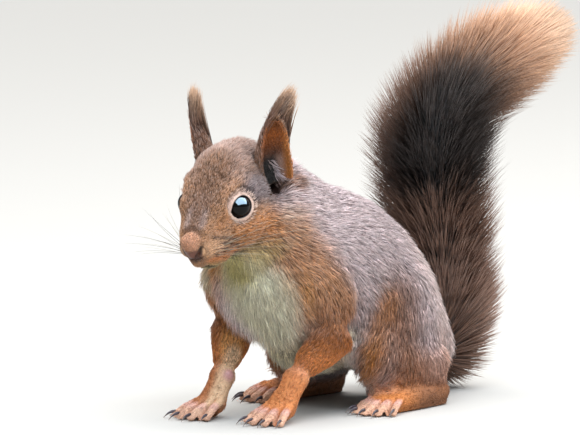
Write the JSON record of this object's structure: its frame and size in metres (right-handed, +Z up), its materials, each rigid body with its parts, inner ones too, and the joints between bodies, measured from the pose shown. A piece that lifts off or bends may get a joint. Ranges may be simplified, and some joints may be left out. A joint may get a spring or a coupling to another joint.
{
  "type": "red squirrel",
  "caption": "Life-size still model of a red squirrel, crouched on all fours with its head up, ears tufted and its bushy tail raised behind it.",
  "frame": {"origin": "on the floor, under the middle of the whole animal's box", "axes": "+X is the animal's left, +Y points from its head to its tail, +Z is up"},
  "size_m": [0.0882, 0.2394, 0.1624],
  "materials": {
    "head_coat": "short dense fur",
    "ear_coat": "short fur with long tip hairs",
    "body_coat": "soft grizzled fur, cream on the chest and belly",
    "leg_coat": "short russet fur",
    "paw_coat": "very short fur over skin, dark claws",
    "tail_coat": "long brushed-out hair",
    "eye": "wet gloss"
  },
  "bodies": {
    "root": {"head": "head_coat", "ear_left": "ear_coat", "ear_right": "ear_coat", "ear_tuft_left": "ear_coat", "ear_tuft_right": "ear_coat", "eye_left": "eye", "eye_right": "eye", "neck": "body_coat", "trunk": "body_coat", "upper_arm_left": "leg_coat", "upper_arm_right": "leg_coat", "forearm_left": "leg_coat", "forearm_right": "leg_coat", "forepaw_left": "paw_coat", "forepaw_right": "paw_coat", "thigh_left": "leg_coat", "thigh_right": "leg_coat", "shank_left": "leg_coat", "shank_right": "leg_coat", "hind_foot_left": "paw_coat", "hind_foot_right": "paw_coat", "tail_root": "tail_coat", "tail_lower": "tail_coat", "tail_middle": "tail_coat", "tail_bend": "tail_coat", "tail_tip": "tail_coat"}
  },
  "joints": []
}
